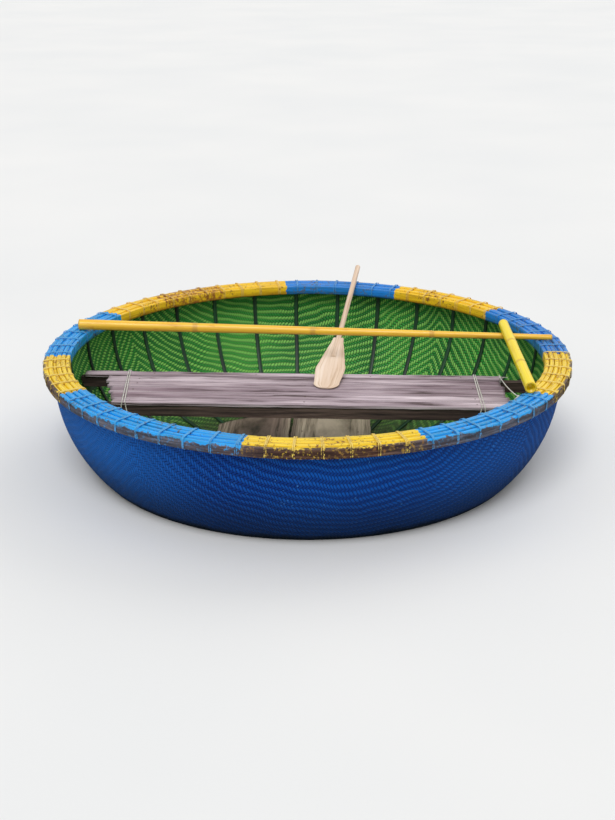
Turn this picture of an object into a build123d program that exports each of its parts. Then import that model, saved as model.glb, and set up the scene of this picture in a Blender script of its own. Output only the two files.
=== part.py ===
from build123d import *
import os
from math import cos, radians, sin, tan

# A round woven basket boat (a coracle), empty and afloat. Every size is in millimetres.
# The origin is the centre of the waterline plane. +X runs along the bench, +Y towards the
# paddle's side of the boat and +Z up.

# Clearances
gap = 0.3  # between a piece and its seat
lath_gap = 0.5  # between neighbouring laths of the rim

# Rim: split laths bent round inside and outside the hull's edge
rim_radius = 1000.0
rim_top = 413.0
rim_height = 43.0
inner_lath_widths = (16.0, 17.0, 17.0)  # from the mouth outwards
inner_lath_drops = (4.0, 0.0, 2.0)  # how far each top lies below rim_top
outer_lath_widths = (18.0, 18.0)  # from the hull outwards
outer_lath_drops = (1.0, 5.0)
lath_bevel = 4.0

# Hull: an arc over the bottom, one over the bilge and one up the side, then a straight edge
hull_thickness = 10.0
hull_edge_drop = 8.0
side_top = 356.0
side_radius = 513.5
side_sweep = 44.0
bilge_radius = 300.0
bilge_sweep = 32.0

# Lashings that bind the rim to the hull, each a flat strap
strap_count = 68
strap_width = 8.0
strap_thickness = 2.0

# Ribs inside the hull
rib_count = 32
rib_width = 19.0
rib_thickness = 8.0
rib_ends = (0.300, 0.420)  # how far out the long and the short ribs stop, as shares of rim_radius

# Bench across the boat, on two beams whose ends rest on cleats: laths bent over four ribs at each
# side. Near each end a lashing goes over the slats and holds a short round bearer up against the
# beams. The places of bearers and ends along X are shares of rim_radius
cleat_top = 192.0
cleat_height = 25.0
cleat_thickness = 12.0
cleat_sweep = 40.0
bearer_diameter = 45.0
bearer_places = (-0.690, 0.660)
bearer_overhang = 35.0  # past the bench's front and rear edges
bench_top = 250.0
bench_front = -180.0
slat_thickness = 16.0
slat_edge_radius = 3.0
slat_width = 58.0
slat_gap = 3.0
slat_ends = ((-0.738, 0.770), (-0.756, 0.776), (-0.768, 0.762), (-0.786, 0.768), (-0.800, 0.757))
rear_slat_gap = 13.0
rear_slat_width = 45.0
rear_slat_ends = (-0.900, 0.770)
beam_width = 30.0
beam_setback = 5.0
batten_width = 44.0
lashing_cord = 5.0
lashing_sides = 6
lashing_straight = 2.0  # straight stretch of the cord under a bearer

# Floor boards on three cross bearers: their ends, edges and rows are shares of rim_radius
floor_rise = 86.4  # the boards' top over the keel
board_thickness = 18.0
board_end = 0.620
board_edges = ((-0.400, -0.095), (-0.085, 0.250))
floor_bearer_width = 50.0
floor_bearer_height = 34.0
floor_bearer_ends = (-0.375, 0.235)
floor_bearer_row = 0.380

# Bamboo pole across the rim: its two ends as (x, y), in shares of rim_radius, and its diameters
pole_ends = ((-0.923, 0.204), (0.951, 0.148))
pole_diameters = (42.0, 21.0)
pole_joints = 3
joint_height = 1.2
joint_length = 9.0

# Short bar that lies on the near rim and over the pole: its ends are placed as the pole's are
bar_ends = ((0.801, -0.470), (0.765, 0.210))
bar_diameters = (42.0, 38.0)
bar_joints = 2

# Paddle that lies with its blade's tip on the bench and its shaft over the far rim
paddle_lean = 11.0
paddle_heading = 83.8
paddle_strap = 15  # the lashing that it lies on, counted from +X
paddle_length = 1080.0
shaft_diameter = 22.0
blade_length = 400.0
blade_thickness = 12.0  # under the shaft
blade_tip_thickness = 6.0
blade_lap = 0.400  # how far the shaft runs over the blade, as a share of its length
blade_half_widths = ((0.0, 46.0), (0.375, 60.0), (1.0, 21.0))  # each at a share of the length
blade_corners = (34.0, 90.0, 8.0)

# Values worked out from those above
rim_bottom = rim_top - rim_height
hull_radius = rim_radius - sum(outer_lath_widths) - len(outer_lath_widths) * lath_gap
hull_edge = rim_top - hull_edge_drop
mouth_radius = hull_radius - hull_thickness - sum(inner_lath_widths) - len(inner_lath_widths) * lath_gap
bottom_sweep = 90.0 - side_sweep - bilge_sweep
bilge_turn = radians(bottom_sweep + bilge_sweep)
bilge_centre_x = hull_radius - side_radius + (side_radius - bilge_radius) * sin(bilge_turn)
bilge_centre_z = side_top - (side_radius - bilge_radius) * cos(bilge_turn)
bottom_radius = bilge_radius + bilge_centre_x / sin(radians(bottom_sweep))
keel = bilge_centre_z + bilge_centre_x / tan(radians(bottom_sweep)) - bottom_radius

rib_outset = hull_thickness + gap
rib_inset = rib_outset + rib_thickness
lining = rib_inset + gap
strap_top = rim_top + gap + strap_thickness
strap_bottom = rim_bottom - gap - strap_thickness
rib_top = strap_bottom - gap

beam_bottom = cleat_top + gap
beam_top = bench_top - slat_thickness - gap
bearer_left, bearer_right = (place * rim_radius for place in bearer_places)
bearer_radius = bearer_diameter / 2
bearer_axis = beam_bottom - gap - bearer_radius
slats_rear = bench_front + len(slat_ends) * (slat_width + slat_gap) - slat_gap
rear_slat_front = slats_rear + rear_slat_gap
bench_rear = rear_slat_front + rear_slat_width
front_beam_y = bench_front + beam_setback + beam_width / 2
rear_beam_y = bench_rear - beam_setback - beam_width / 2
floor_top = keel + floor_rise
floor_bearer_top = floor_top - board_thickness - gap

os.makedirs("parts", exist_ok=True)


def finish(piece, name):
    piece.part.label = name
    export_step(piece.part, f"parts/{name}.step")


def layer(outset, inset=None, bottom=keel, top=hull_edge, start=0.0):
    """Half section of what lies between two lines that follow the hull's outside.

    The lines are moved in by outset and inset, and the layer is kept from bottom to top and from
    start outwards. Without inset it is solid to the axis.
    """
    with BuildSketch(Plane.XZ) as section:
        for offset_in, mode in ((outset, Mode.ADD), (inset, Mode.SUBTRACT)):
            if offset_in is None:
                continue
            with BuildLine():
                floor = JernArc((0, keel + offset_in), (1, 0), bottom_radius - offset_in, bottom_sweep)
                bilge = JernArc(floor @ 1, floor % 1, bilge_radius - offset_in, bilge_sweep)
                side = JernArc(bilge @ 1, bilge % 1, side_radius - offset_in, side_sweep)
                Polyline(side @ 1, (hull_radius - offset_in, hull_edge), (0, hull_edge), floor @ 0)
            make_face(mode=mode)
        with Locations((start, bottom)):
            Rectangle(hull_radius - start, top - bottom, align=Align.MIN, mode=Mode.INTERSECT)
    return section.sketch


# Hull
with BuildPart() as hull:
    revolve(layer(0, hull_thickness), axis=Axis.Z)
finish(hull, "hull")


# Rim laths
def rim_lath(inner_radius, width, drop, name):
    with BuildPart() as lath:
        with BuildSketch(Plane.XZ):
            with Locations((inner_radius, rim_bottom)):
                Rectangle(width, rim_height - drop, align=Align.MIN)
            top_corners = vertices().group_by(Axis.Y)[-1]
            chamfer(top_corners, lath_bevel)
        revolve(axis=Axis.Z)
    finish(lath, name)


inner_edge = mouth_radius
for number, (width, drop) in enumerate(zip(inner_lath_widths, inner_lath_drops), 1):
    rim_lath(inner_edge, width, drop, f"rim_inner_lath_{number}")
    inner_edge += width + lath_gap
inner_edge = hull_radius + lath_gap
for number, (width, drop) in enumerate(zip(outer_lath_widths, outer_lath_drops), 1):
    rim_lath(inner_edge, width, drop, f"rim_outer_lath_{number}")
    inner_edge += width + lath_gap


# Rim lashings: each goes over the rim and ends against the hull below it, inside and out
strap_inside = mouth_radius - gap
strap_outside = rim_radius + gap
hull_inside = hull_radius - hull_thickness - gap
hull_outside = hull_radius + gap
with BuildPart() as strap:
    with BuildSketch(Plane.XZ):
        with BuildLine():
            Polyline(
                (hull_inside, strap_bottom),
                (strap_inside - strap_thickness, strap_bottom),
                (strap_inside - strap_thickness, strap_top),
                (strap_outside + strap_thickness, strap_top),
                (strap_outside + strap_thickness, strap_bottom),
                (hull_outside, strap_bottom),
                (hull_outside, strap_bottom + strap_thickness),
                (strap_outside, strap_bottom + strap_thickness),
                (strap_outside, strap_top - strap_thickness),
                (strap_inside, strap_top - strap_thickness),
                (strap_inside, strap_bottom + strap_thickness),
                (hull_inside, strap_bottom + strap_thickness),
                close=True,
            )
        make_face()
    extrude(amount=strap_width / 2, both=True)
with BuildPart() as rim_lashings:
    with PolarLocations(0, strap_count):
        add(strap.part)
finish(rim_lashings, "rim_lashings")


# Ribs: long and short ones by turns, each bent down the inside of the hull
def rib(start):
    with BuildPart() as piece:
        extrude(layer(rib_outset, rib_inset, top=rib_top, start=start), amount=rib_width / 2, both=True)
    return piece.part


with BuildPart() as ribs:
    rib_step = 360 / rib_count
    for turn, start in enumerate(rib_ends):
        with PolarLocations(0, rib_count // 2, start_angle=rib_step * (turn + 0.5)):
            add(rib(start * rim_radius))
finish(ribs, "ribs")

# Cleats inside the ribs, one at each side
with BuildPart() as cleat:
    section = layer(lining, lining + cleat_thickness, cleat_top - cleat_height, cleat_top)
    revolve(section, axis=Axis.Z, revolution_arc=cleat_sweep)
with BuildPart() as bearer_cleats:
    with PolarLocations(0, 2, start_angle=-cleat_sweep / 2):
        add(cleat.part)
finish(bearer_cleats, "bearer_cleats")

# Round bearers across the underside of the bench
for side, side_x in (("left", bearer_left), ("right", bearer_right)):
    with BuildPart() as bearer:
        with BuildSketch(Plane.XZ.offset(bearer_overhang - bench_front)):
            with Locations((side_x, bearer_axis)):
                Circle(bearer_radius)
        extrude(amount=bench_front - bench_rear - 2 * bearer_overhang)
    finish(bearer, f"bearer_{side}")

# Bench frame: a beam along the front and one along the rear, cut to the shape of the side at both
# ends, and three battens between them
for name, beam_y in (("front", front_beam_y), ("rear", rear_beam_y)):
    with BuildPart() as beam:
        with BuildSketch(Plane.XY.offset(beam_bottom)):
            with Locations((0, beam_y)):
                Rectangle(2 * hull_radius, beam_width)
        extrude(amount=beam_top - beam_bottom)
        revolve(layer(lining), axis=Axis.Z, mode=Mode.INTERSECT)
    finish(beam, f"bench_{name}_beam")

for name, batten_x in (("left", bearer_left), ("middle", 0.0), ("right", bearer_right)):
    with BuildPart() as batten:
        with BuildSketch(Plane.XY.offset(beam_bottom)):
            with Locations((batten_x, (front_beam_y + rear_beam_y) / 2)):
                Rectangle(batten_width, rear_beam_y - front_beam_y - beam_width - 2 * gap)
        extrude(amount=beam_top - beam_bottom)
    finish(batten, f"bench_batten_{name}")


# Bench slats
def slat(front, width, ends, name):
    left, right = (end * rim_radius for end in ends)
    with BuildPart() as board:
        with BuildSketch(Plane.XY.offset(bench_top)):
            with Locations((left, front)):
                Rectangle(right - left, width, align=Align.MIN)
        extrude(amount=-slat_thickness)
        fillet(board.edges().filter_by(Axis.X).group_by(Axis.Z)[-1], slat_edge_radius)
    finish(board, name)


for number, ends in enumerate(slat_ends):
    slat(bench_front + number * (slat_width + slat_gap), slat_width, ends, f"bench_slat_{number + 1}")
slat(rear_slat_front, rear_slat_width, rear_slat_ends, "bench_rear_slat")

# Bench lashings: one closed cord at each bearer, over the slats and under the bearer at both edges
cord_radius = lashing_cord / 2
cord_x = bearer_radius + gap + cord_radius
cord_front = bench_front - gap - cord_radius
cord_rear = bench_rear + gap + cord_radius
cord_top = bench_top + gap + cord_radius
cord_bottom = bearer_axis - cord_x
edge_turn = slat_edge_radius + gap + cord_radius
bearer_turn = cord_x - lashing_straight / 2
with BuildPart() as bench_lashings:
    for side_x in (bearer_left, bearer_right):
        left, right = side_x - cord_x, side_x + cord_x
        with BuildLine() as route:
            FilletPolyline(
                (right, cord_front, cord_top),
                (right, cord_rear, cord_top),
                (right, cord_rear, cord_bottom),
                (left, cord_rear, cord_bottom),
                (left, cord_rear, cord_top),
                (left, cord_front, cord_top),
                (left, cord_front, cord_bottom),
                (right, cord_front, cord_bottom),
                radius=[edge_turn, edge_turn, bearer_turn, bearer_turn] * 2,
                close=True,
            )
        with BuildSketch(Plane((right, 0, cord_top), z_dir=(0, 1, 0))):
            RegularPolygon(cord_radius, lashing_sides)
        sweep(path=route.wires()[0])
finish(bench_lashings, "bench_lashings")

# Floor boards, cut to the bottom's shape
for side, edges in zip(("left", "right"), board_edges):
    left, right = (edge * rim_radius for edge in edges)
    with BuildPart() as board:
        with BuildSketch(Plane.XY.offset(floor_top)):
            with Locations((left, 0)):
                Rectangle(right - left, 2 * board_end * rim_radius, align=(Align.MIN, Align.CENTER))
        extrude(amount=-board_thickness)
        revolve(layer(lining), axis=Axis.Z, mode=Mode.INTERSECT)
    finish(board, f"floor_board_{side}")

left, right = (end * rim_radius for end in floor_bearer_ends)
for name, row in (("front", -floor_bearer_row), ("middle", 0.0), ("rear", floor_bearer_row)):
    with BuildPart() as floor_bearer:
        with BuildSketch(Plane.XY.offset(floor_bearer_top)):
            with Locations((left, row * rim_radius)):
                Rectangle(right - left, floor_bearer_width, align=(Align.MIN, Align.CENTER))
        extrude(amount=-floor_bearer_height)
        revolve(layer(lining), axis=Axis.Z, mode=Mode.INTERSECT)
    finish(floor_bearer, f"floor_bearer_{name}")


# Bamboo poles: a tapered round with a low ridge at each joint
def bamboo(start, end, diameters, joints, name):
    run = end - start
    length = run.length
    first, last = diameters[0] / 2, diameters[1] / 2
    points = [(0, 0), (0, first)]
    for joint in range(1, joints + 1):
        place = length * joint / (joints + 1)
        radius = first + (last - first) * place / length
        points += [
            (place - joint_length, radius),
            (place, radius + joint_height),
            (place + joint_length, radius),
        ]
    points += [(length, last), (length, 0)]
    upright = Vector(0, 0, 1) - run * (run.Z / length**2)
    with BuildPart() as pole:
        with BuildSketch(Plane(start, x_dir=run, z_dir=run.cross(upright))):
            with BuildLine():
                Polyline(*points, close=True)
            make_face()
        revolve(axis=Axis(start, run))
    finish(pole, name)


def on_rim(ends, diameters):
    """The middles of a pole's two ends where it lies flat on the rim."""
    return [
        Vector(x * rim_radius, y * rim_radius, rim_top + gap + diameter / 2)
        for (x, y), diameter in zip(ends, diameters)
    ]


pole_left, pole_right = on_rim(pole_ends, pole_diameters)
bamboo(pole_left, pole_right, pole_diameters, pole_joints, "cross_pole")

# The bar's near end rests on the rim, and the pole that it lies over sets its slope. Each share
# tells how far along its own piece the crossing lies
bar_near, bar_far = on_rim(bar_ends, bar_diameters)
pole_run, bar_run = pole_right - pole_left, bar_far - bar_near
pole_share = (bar_near - pole_left).cross(bar_run).Z / pole_run.cross(bar_run).Z
bar_share = (pole_left - bar_near).cross(pole_run).Z / bar_run.cross(pole_run).Z
pole_radius = (pole_diameters[0] + pole_share * (pole_diameters[1] - pole_diameters[0])) / 2
bar_radius = (bar_diameters[0] + bar_share * (bar_diameters[1] - bar_diameters[0])) / 2
crossing_height = (pole_left + pole_run * pole_share).Z + pole_radius + gap + bar_radius
bar_far.Z = bar_near.Z + (crossing_height - bar_near.Z) / bar_share
bamboo(bar_near, bar_far, bar_diameters, bar_joints, "oar_bar")

# Paddle: its plane along the shaft is x, its width y, and z points away from the water
lean = radians(paddle_lean)
heading = radians(paddle_heading)
strap_turn = radians(360 / strap_count * paddle_strap)
shaft_radius = shaft_diameter / 2
forward = Vector(cos(heading), sin(heading), 0)
along = forward * cos(lean) + Vector(0, 0, sin(lean))
above = Vector(0, 0, cos(lean)) - forward * sin(lean)
strap_corner = strap_inside - strap_thickness
rim_edge = Vector(strap_corner * cos(strap_turn), strap_corner * sin(strap_turn), strap_top)
on_axis = rim_edge + above * (shaft_radius + gap)
tip_height = bench_top + gap + blade_tip_thickness / 2 * cos(lean)
tip = on_axis - along * ((on_axis.Z - tip_height) / sin(lean))
shaft_start = blade_length * (1 - blade_lap)
paddle_plane = Plane(tip, x_dir=along, z_dir=above)

with BuildPart() as paddle_blade:
    with BuildSketch(paddle_plane.offset(-blade_thickness / 2)):
        with BuildLine():
            one_side = [(share * blade_length, half) for share, half in blade_half_widths]
            other_side = [(place, -half) for place, half in reversed(one_side)]
            corners = list(blade_corners) + list(reversed(blade_corners))
            FilletPolyline(*one_side, *other_side, radius=corners, close=True)
        make_face()
    extrude(amount=blade_thickness)
    with BuildSketch(Plane(tip, x_dir=along, z_dir=along.cross(above))):
        half_tip, half_root = blade_tip_thickness / 2, blade_thickness / 2
        with BuildLine():
            Polyline(
                (0, -half_tip),
                (shaft_start, -half_root),
                (blade_length, -half_root),
                (blade_length, half_root),
                (shaft_start, half_root),
                (0, half_tip),
                close=True,
            )
        make_face()
    extrude(amount=blade_length, both=True, mode=Mode.INTERSECT)
finish(paddle_blade, "paddle_blade")

with BuildPart() as paddle_shaft:
    with BuildSketch(Plane(tip + along * shaft_start, x_dir=above, z_dir=along)):
        Circle(shaft_radius)
    extrude(amount=paddle_length - shaft_start)
    with BuildSketch(paddle_plane.offset(blade_thickness / 2 + gap)):
        Rectangle(2 * (blade_length + gap), shaft_diameter)
    extrude(amount=-shaft_diameter, mode=Mode.SUBTRACT)
finish(paddle_shaft, "paddle_shaft")
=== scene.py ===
"""A round woven basket boat, empty and afloat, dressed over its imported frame.

The frame is in metres. Its origin is the centre of the waterline, +X runs along the bench, +Z up.
"""

import bmesh
import bpy
import numpy as np
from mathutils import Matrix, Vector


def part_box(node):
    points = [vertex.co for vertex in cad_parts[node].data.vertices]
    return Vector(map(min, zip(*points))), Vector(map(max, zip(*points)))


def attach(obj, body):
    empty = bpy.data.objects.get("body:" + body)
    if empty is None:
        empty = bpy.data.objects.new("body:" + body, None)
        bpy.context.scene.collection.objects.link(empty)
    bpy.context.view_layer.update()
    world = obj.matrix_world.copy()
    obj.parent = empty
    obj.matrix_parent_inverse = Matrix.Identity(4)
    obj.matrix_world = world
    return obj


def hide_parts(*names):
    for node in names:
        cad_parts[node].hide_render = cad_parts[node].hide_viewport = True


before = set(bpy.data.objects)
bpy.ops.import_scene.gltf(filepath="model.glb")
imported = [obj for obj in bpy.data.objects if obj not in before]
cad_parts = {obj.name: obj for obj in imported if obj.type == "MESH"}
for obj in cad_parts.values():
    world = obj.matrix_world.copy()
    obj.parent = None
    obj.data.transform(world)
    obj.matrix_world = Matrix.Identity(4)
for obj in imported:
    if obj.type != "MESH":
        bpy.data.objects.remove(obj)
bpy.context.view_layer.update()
random = np.random.default_rng(7)
TURN = 2 * np.pi

# Hull: the three arcs of its half section are those of the frame's hull, and it is upright above
hull_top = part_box("hull")[1]
hull_radius, hull_edge = hull_top.x, hull_top.z
hull_wall = 0.010
side_top = 0.356
side_radius, side_sweep = 0.5135, np.radians(44)
bilge_radius, bilge_sweep = 0.300, np.radians(32)
steep = np.pi / 2 - side_sweep
flat = steep - bilge_sweep
side_centre = np.array([hull_radius - side_radius, side_top])
bilge_centre = side_centre + (side_radius - bilge_radius) * np.array(
    [np.sin(steep), -np.cos(steep)]
)
bottom_radius = bilge_radius + bilge_centre[0] / np.sin(flat)
bottom_centre = np.array([0, bilge_centre[1] + bilge_centre[0] / np.tan(flat)])
# The width of a splint, and the woven mat's turn in the bowl
splint = 0.0100
mat_turn = np.radians(-35)

# Rim: its laths' widths, and its lashings
rim_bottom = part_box("rim_outer_lath_2")[0].z
rim_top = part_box("rim_inner_lath_2")[1].z
rim_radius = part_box("rim_outer_lath_2")[1].x
lath_widths = {
    "rim_inner_lath_1": 0.016,
    "rim_inner_lath_2": 0.017,
    "rim_inner_lath_3": 0.017,
    "rim_outer_lath_1": 0.018,
    "rim_outer_lath_2": 0.018,
}
mouth_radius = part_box("rim_inner_lath_1")[1].x - lath_widths["rim_inner_lath_1"]
lashing_count = 68
lashing_strands = 3
lashing_width = 0.0102

# Ribs: the long and the short ones start at these radii
rib_count = 32
rib_width, rib_thickness = 0.019, 0.008
rib_starts = (0.300, 0.420)
rib_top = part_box("ribs")[1].z

# The gap between pieces that lie on each other
seat_gap = 0.0003

# Poles: the middles of their ends and their diameters there
pole_ends = ((-0.923, 0.204, 0.4343), (0.951, 0.148, 0.4238))
pole_diameters = (0.042, 0.021)
bar_ends = ((0.801, -0.470, 0.4343), (0.765, 0.210, 0.4578))
bar_diameters = (0.042, 0.038)

# Paint on the rim: where each stretch ends, in degrees from +X, and its colour
rim_stripes = (
    (-173.0, "sky"),
    (-149.0, "yellow"),
    (-100.6, "sky"),
    (-66.0, "yellow"),
    (-29.5, "sky"),
    (0.0, "yellow"),
    (36.0, "blue"),
    (66.8, "orange"),
    (97.7, "blue"),
    (151.0, "orange"),
    (180.0, "sky"),
)
stripe_paint = {"sky": "#10a4f8", "blue": "#1688e8", "yellow": "#fcda2c", "orange": "#ffd21c"}
# Where the far rim's paint is worn through: the middle and half the length of the place
worn_middle, worn_reach = np.radians(126), np.radians(9)


# Mesh making


def piece(name, points, uv, materials, replaces=(), slot=None, face_material=None, closed=True):
    """One mesh from grids of points, shape (copies, rows, columns, 3), and UV, shape (..., 2).

    Each grid cell is one quad. Points that lie on each other, at seams and poles, are merged, and a
    closed mesh has its normals turned outwards.
    """
    copies, rows, columns = points.shape[:3]
    row, column = np.meshgrid(np.arange(rows - 1), np.arange(columns - 1), indexing="ij")
    first = (row * columns + column).ravel()
    corners = np.stack([first, first + columns, first + columns + 1, first + 1], -1)
    corners = (corners + (np.arange(copies) * rows * columns)[:, None, None]).reshape(-1, 4)
    mesh = bpy.data.meshes.new(name)
    mesh.vertices.add(copies * rows * columns)
    mesh.vertices.foreach_set("co", points.astype(np.float32).ravel())
    mesh.loops.add(corners.size)
    mesh.loops.foreach_set("vertex_index", corners.astype(np.int32).ravel())
    mesh.polygons.add(len(corners))
    mesh.polygons.foreach_set("loop_start", np.arange(0, corners.size, 4, dtype=np.int32))
    mesh.update(calc_edges=True)
    layer = mesh.uv_layers.new(name="mat")
    layer.data.foreach_set("uv", uv.reshape(-1, 2)[corners.ravel()].astype(np.float32).ravel())
    for material in materials:
        mesh.materials.append(material)
    if face_material is not None:
        mesh.polygons.foreach_set("material_index", np.tile(face_material, copies).astype(np.int32))
    shell = bmesh.new()
    shell.from_mesh(mesh)
    bmesh.ops.remove_doubles(shell, verts=shell.verts, dist=1e-6)
    if closed:
        bmesh.ops.recalc_face_normals(shell, faces=shell.faces)
    shell.to_mesh(mesh)
    shell.free()
    mesh.shade_smooth()
    made = bpy.data.objects.new(name, mesh)
    bpy.context.collection.objects.link(made)
    if replaces:
        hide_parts(*replaces)
    if slot:
        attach(made, "root")
    return made


def squircle(turn, power):
    """A rounded square by its turn: each of (cos, sin) raised to 2/power with its sign kept."""
    c, s = np.cos(turn), np.sin(turn)
    return np.sign(c) * np.abs(c) ** (2 / power), np.sign(s) * np.abs(s) ** (2 / power)


def waves(x, y, lengths, count=9):
    """Smooth unevenness between about -1 and 1: a sum of plane waves of random turn and phase.

    lengths is the range of the waves' lengths, in the unit of x and y.
    """
    turn, phase = random.uniform(0, TURN, (2, count))
    wave = TURN / random.uniform(*lengths, count)
    each = zip(wave, turn, phase)
    total = sum(np.sin(k * (x * np.cos(t) + y * np.sin(t)) + p) for k, t, p in each)
    return total / np.sqrt(count)


def unit(v):
    """Vectors over their lengths."""
    return v / np.linalg.norm(v, axis=-1, keepdims=True)


def round_about(azimuth, radius, height, aside=0.0):
    """Points at a radius and height, turned to an azimuth and moved aside along the tangent."""
    c, s = np.cos(azimuth), np.sin(azimuth)
    return np.stack([radius * c - aside * s, radius * s + aside * c, height + 0 * radius * c], -1)


def hull_line(slope, inset):
    """Radius, height and distance from the keel of the hull's section, by its slope.

    Slope runs from 0 at the keel to a quarter turn up the side. The point is the centre of the arc
    that holds the slope, plus the arc's radius less inset, times (sin slope, -cos slope).
    """
    arc = np.digitize(slope, [flat, steep])
    centre = np.array([bottom_centre, bilge_centre, side_centre])[arc]
    radius = np.array([bottom_radius, bilge_radius, side_radius])[arc] - inset
    lengths = [0, bottom_radius * flat, bilge_radius * bilge_sweep, side_radius * side_sweep]
    return (
        centre[..., 0] + radius * np.sin(slope),
        centre[..., 1] - radius * np.cos(slope),
        np.interp(slope, [0, flat, steep, np.pi / 2], np.cumsum(lengths)),
    )


def slope_at(radius, inset):
    """Slope at which the hull's section, moved in by inset, reaches a radius."""
    slopes = np.linspace(0, np.pi / 2, 2000)
    return np.interp(radius, hull_line(slopes, inset)[0], slopes)


def tube(path, normal, side, width, thickness, columns, power=2.0):
    """A tube along paths, shape (copies, points, 3): a squircle section on each point's two axes.

    width and thickness are half the section's, along side and normal.
    """
    turn = np.linspace(0, TURN, columns)
    c, s = squircle(turn, power)
    return (
        path[..., None, :]
        + (normal * thickness)[..., None, :] * s[:, None]
        + (side * width)[..., None, :] * c[:, None]
    )


def close_ends(points):
    """Adds a row at each end of a tube's grid, shrunk to the end's middle."""
    first, last = (
        np.broadcast_to(end[:, :, :-1].mean(2, keepdims=True), end.shape)
        for end in (points[:, :1], points[:, -1:])
    )
    return np.concatenate([first, points, last], 1)


def grid_uv(points, across):
    """UV in metres: u is the distance along the rows, v goes across the columns up to across."""
    steps = np.linalg.norm(np.diff(points.mean(2), axis=1), axis=-1)
    along = np.cumsum(np.pad(steps, ((0, 0), (1, 0))), 1)
    v = np.linspace(0, across, points.shape[2])
    return np.stack(np.broadcast_arrays(along[:, :, None], v[None, None, :]), -1)


# Materials. A noise's scale is its marks per metre, so a scale of 150 makes marks about 7 mm wide.


def linear(colour):
    """sRGB hex to a linear colour."""
    srgb = np.array([int(colour[i : i + 2], 16) for i in (1, 3, 5)]) / 255
    return (*np.where(srgb <= 0.04045, srgb / 12.92, ((srgb + 0.055) / 1.055) ** 2.4), 1.0)


def add(tree, kind, inputs=(), stops=(), **settings):
    """Adds a shader node with its settings, its inputs and, on a ramp, its (place, colour) stops.

    Inputs are a list in the node's order, or a dictionary by name or number. Each is a value, a hex
    colour, a socket, or a node, which stands for its first output in use.
    """
    node = tree.nodes.new("ShaderNode" + kind)
    for name, value in settings.items():
        setattr(node, name, value)
    for name, value in inputs.items() if isinstance(inputs, dict) else enumerate(inputs):
        if isinstance(value, bpy.types.Node):
            value = next(output for output in value.outputs if output.enabled)
        if isinstance(value, bpy.types.NodeSocket):
            tree.links.new(value, node.inputs[name])
        else:
            node.inputs[name].default_value = linear(value) if isinstance(value, str) else value
    for number, (at, colour) in enumerate(stops):
        elements = node.color_ramp.elements
        element = elements[number] if number < 2 else elements.new(at)
        element.position, element.color = at, linear(colour)
    return node


COLOURS = {"data_type": "RGBA"}
TINT = {"data_type": "RGBA", "blend_type": "MULTIPLY"}
SMOOTH = {"interpolation_type": "SMOOTHSTEP"}
TIMES = {"operation": "MULTIPLY"}
TIMES_PLUS = {"operation": "MULTIPLY_ADD"}


def grain(tree, place, marks, detail, rough):
    """Noise stretched along a grain, by its marks per metre along each axis of place."""
    place = add(tree, "Mapping", {"Vector": place, "Scale": marks})
    noise = {"Vector": place, "Scale": 1.0, "Detail": detail, "Roughness": rough}
    return add(tree, "TexNoise", noise)


def finish(name, build):
    """A material. build(tree) gives its colour, roughness, bump height and depth, and constants."""
    material = bpy.data.materials.new(name)
    material.use_nodes = True
    tree = material.node_tree
    tree.nodes.clear()
    colour, roughness, height, depth, constants = build(tree)
    bump = add(tree, "Bump", {"Strength": 1.0, "Distance": depth, "Height": height})
    inputs = {"Base Color": colour, "Roughness": roughness, "Normal": bump, **constants}
    add(tree, "OutputMaterial", {"Surface": add(tree, "BsdfPrincipled", inputs)})
    return material


def weave(tree):
    """Height and upper splint of a two-over-two twill whose lines run round the middle in diamonds.

    The mat's own coordinates, turned, moved by up to 30 mm in waves of 200 mm and counted in
    splints from its middle, give each splint a number and a place across it. A warp splint's
    height along itself is the sine of a quarter turn per crossing, and the weft's is its opposite.
    Each falls off towards its edges with the fourth power, and the higher of the two shows.
    """
    mat = add(tree, "UVMap", uv_map="mat")
    mat = add(tree, "Mapping", {"Vector": mat, "Rotation": (0, 0, -mat_turn)})
    drift = add(tree, "TexNoise", {"Vector": mat, "Scale": 5.0, "Detail": 2})
    drift = add(tree, "VectorMath", [drift.outputs["Color"], (0.5, 0.5, 0.5)], operation="SUBTRACT")
    drift = add(tree, "VectorMath", [drift, (0.06, 0.06, 0.0), mat], **TIMES_PLUS)
    count = add(tree, "VectorMath", [drift, (1 / splint,) * 3], **TIMES)
    count = add(tree, "VectorMath", [count], operation="ABSOLUTE")
    cell = add(tree, "VectorMath", [count], operation="FLOOR")
    inner = add(tree, "VectorMath", [count], operation="FRACTION")
    count, cell, inner = (add(tree, "SeparateXYZ", [vector]) for vector in (count, cell, inner))
    heights = []
    for own, other, sign in (("X", "Y", 0.5), ("Y", "X", -0.5)):
        phase = add(tree, "Math", [cell.outputs[own], count.outputs[other]], operation="ADD")
        phase = add(tree, "Math", [phase, np.pi / 2], **TIMES)
        rise = add(tree, "Math", [phase], operation="SINE")
        rise = add(tree, "Math", [rise, sign, 0.5], **TIMES_PLUS)
        edge = add(tree, "Math", [inner.outputs[own], 2.0, -1.0], **TIMES_PLUS)
        edge = add(tree, "Math", [edge, edge], **TIMES)
        edge = add(tree, "Math", [edge, edge], **TIMES)
        crown = add(tree, "Math", [edge, -0.8, 1.0], **TIMES_PLUS)
        heights.append(add(tree, "Math", [rise, crown], **TIMES))
    height = add(tree, "Math", heights, operation="MAXIMUM")
    upper = add(tree, "Math", heights, operation="GREATER_THAN")
    return height, upper


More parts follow.
